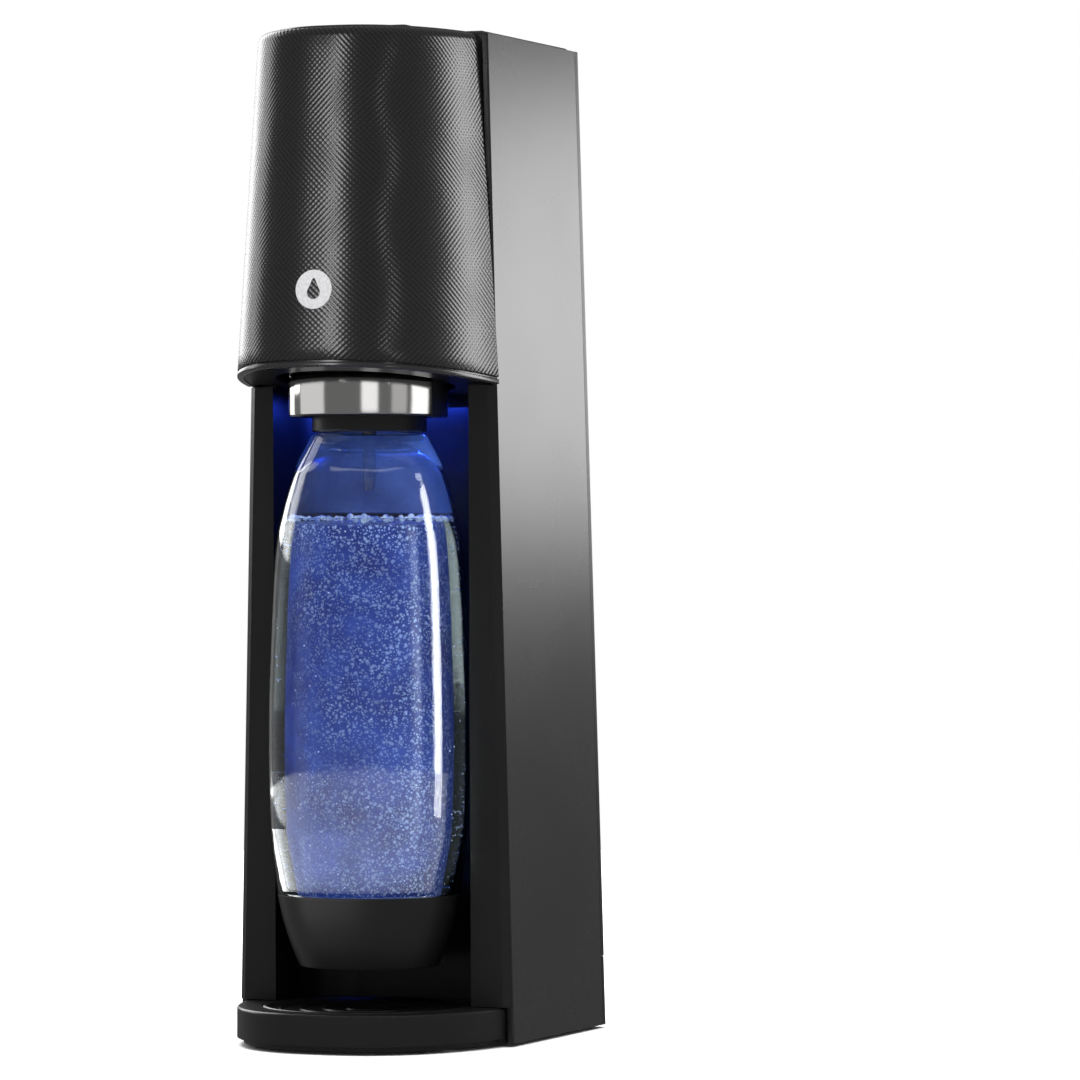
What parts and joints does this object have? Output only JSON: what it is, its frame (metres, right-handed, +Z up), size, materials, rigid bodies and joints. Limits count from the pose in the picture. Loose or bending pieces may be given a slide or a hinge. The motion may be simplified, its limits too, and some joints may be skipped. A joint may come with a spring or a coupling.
{
  "type": "soda carbonator",
  "caption": "Tall electric countertop soda maker with a tilting bottle holder, a clear bottle, preset buttons, a motor-driven gas valve and a removable rear cover over the gas cylinder",
  "frame": {"origin": "centre of the bounding box on the surface the feet stand on", "axes": "+Z up, the front with the bottle faces -Y, +X is the viewer's right when facing the front"},
  "size_m": [0.13, 0.18, 0.4404],
  "materials": {
    "black_plastic": "satin moulded black",
    "panel_black": "smooth semi-gloss black",
    "head_black": "black with fine crossed ribs",
    "cap_black": "semi-gloss black",
    "band_steel": "brushed round the band",
    "badge_silver": "satin silver",
    "clear_bottle": "clear moulded plastic",
    "lit_water": "sparkling water lit blue",
    "blue_lens": "milky light lens, lit blue",
    "pale_lens": "milky light guides",
    "rubber_black": "moulded rubber",
    "board_green": "lacquered circuit board",
    "switch_grey": "small switches",
    "grey_plastic": "moulded grey",
    "cylinder_paint": "satin grey paint",
    "valve_brass": "turned brass",
    "nozzle_dark": "dark moulded nozzle",
    "pin_steel": "plain steel",
    "motor_steel": "drawn steel can",
    "gear_white": "white acetal",
    "pinion_brass": "brass on a steel shaft",
    "hose_clear": "milky gas hose"
  },
  "bodies": {
    "machine": {"base_housing": "black_plastic", "bottom_plate": "black_plastic", "base_screws": "pin_steel", "rubber_feet": "rubber_black", "power_inlet": "black_plastic", "body_frame": "black_plastic", "side_panel_left": "panel_black", "side_panel_right": "panel_black", "head_cover": "head_black", "head_rim": "black_plastic", "head_underside": "black_plastic", "badge": "badge_silver", "niche_light_lens": "blue_lens", "light_board": "board_green", "top_cap": "cap_black", "switch_board": "board_green", "preset_switches": "switch_grey", "level_lights": "pale_lens", "head_chassis": "grey_plastic", "chassis_screws": "pin_steel", "holder_pins": "pin_steel", "cylinder_body": "cylinder_paint", "cylinder_valve": "valve_brass", "valve_seat": "grey_plastic", "seat_gasket": "rubber_black", "lever_pins": "pin_steel", "drive_bracket": "grey_plastic", "motor": "motor_steel", "gear_axle": "pin_steel", "gas_hose": "hose_clear", "relief_body": "grey_plastic", "relief_spring": "pin_steel"},
    "low_button": {"button_low": "cap_black"},
    "medium_button": {"button_medium": "cap_black"},
    "high_button": {"button_high": "cap_black"},
    "holder": {"bottle_holder": "black_plastic", "holder_band": "band_steel", "neck_collar": "black_plastic", "neck_seal": "rubber_black", "nozzle_block": "valve_brass", "nozzle_tube": "nozzle_dark"},
    "filled_bottle": {"bottle": "clear_bottle", "bottle_base_cup": "black_plastic", "water_fill": "lit_water"},
    "tray": {"drip_tray": "black_plastic"},
    "back_cover": {"rear_cover": "black_plastic", "latch_spring": "pin_steel"},
    "latch": {"cover_latch": "black_plastic"},
    "lever": {"seat_lever": "grey_plastic"},
    "pinion": {"motor_pinion": "pinion_brass"},
    "gear": {"drive_gear": "gear_white"},
    "pusher": {"plunger": "gear_white"},
    "gas_pin": {"valve_pin": "valve_brass"},
    "relief": {"relief_poppet": "valve_brass"}
  },
  "joints": [
    {"name": "low_button_press", "type": "slide", "parent": "machine", "child": "low_button", "axis": [0, 0, -1], "range_m": [0, 0.0012], "stiffness_N_per_m": 800},
    {"name": "medium_button_press", "type": "slide", "parent": "machine", "child": "medium_button", "axis": [0, 0, -1], "range_m": [0, 0.0012], "stiffness_N_per_m": 800},
    {"name": "high_button_press", "type": "slide", "parent": "machine", "child": "high_button", "axis": [0, 0, -1], "range_m": [0, 0.0012], "stiffness_N_per_m": 800},
    {"name": "holder_tilt", "type": "hinge", "parent": "machine", "child": "holder", "pos_m": [0, -0.0296, 0.3], "axis": [-1, 0, 0], "range_deg": [0, 20]},
    {"name": "bottle_drop", "type": "slide", "parent": "holder", "child": "filled_bottle", "axis": [0, 0, -1], "range_m": [0, 0.009]},
    {"name": "tray_lift", "type": "slide", "parent": "machine", "child": "tray", "axis": [0, 0, 1], "range_m": [0, 0.004]},
    {"name": "rear_cover_off", "type": "slide", "parent": "machine", "child": "back_cover", "axis": [0, 1, 0], "range_m": [0, 0.06]},
    {"name": "latch_press", "type": "slide", "parent": "back_cover", "child": "latch", "axis": [0, 0, -1], "range_m": [0, 0.002], "stiffness_N_per_m": 600, "deforming": ["latch_spring"]},
    {"name": "lever_lift", "type": "hinge", "parent": "machine", "child": "lever", "pos_m": [0, 0.0369, 0.371], "axis": [1, 0, 0], "range_deg": [0, 45]},
    {"name": "gear_turn", "type": "hinge", "parent": "machine", "child": "gear", "pos_m": [0, 0.03985, 0.396], "axis": [-1, 0, 0], "range_deg": [0, 23.87]},
    {"name": "pinion_turn", "type": "hinge", "parent": "machine", "child": "pinion", "pos_m": [0, 0.01985, 0.396], "axis": [-1, 0, 0], "range_deg": [-95.6, 0]},
    {"name": "pusher_stroke", "type": "slide", "parent": "machine", "child": "pusher", "axis": [0, 0, -1], "range_m": [0, 0.0025]},
    {"name": "valve_pin_stroke", "type": "slide", "parent": "machine", "child": "gas_pin", "axis": [0, 0, -1], "range_m": [0, 0.0025]},
    {"name": "relief_lift", "type": "slide", "parent": "machine", "child": "relief", "axis": [0, 0, 1], "range_m": [0, 0.0015], "stiffness_N_per_m": 3000, "deforming": ["relief_spring"]}
  ],
  "couplings": [
    {"joint": "pinion_turn", "follows": "gear_turn", "ratio": -4},
    {"joint": "pusher_stroke", "follows": "gear_turn", "m_per_rad": 0.006},
    {"joint": "valve_pin_stroke", "follows": "gear_turn", "m_per_rad": 0.006}
  ]
}
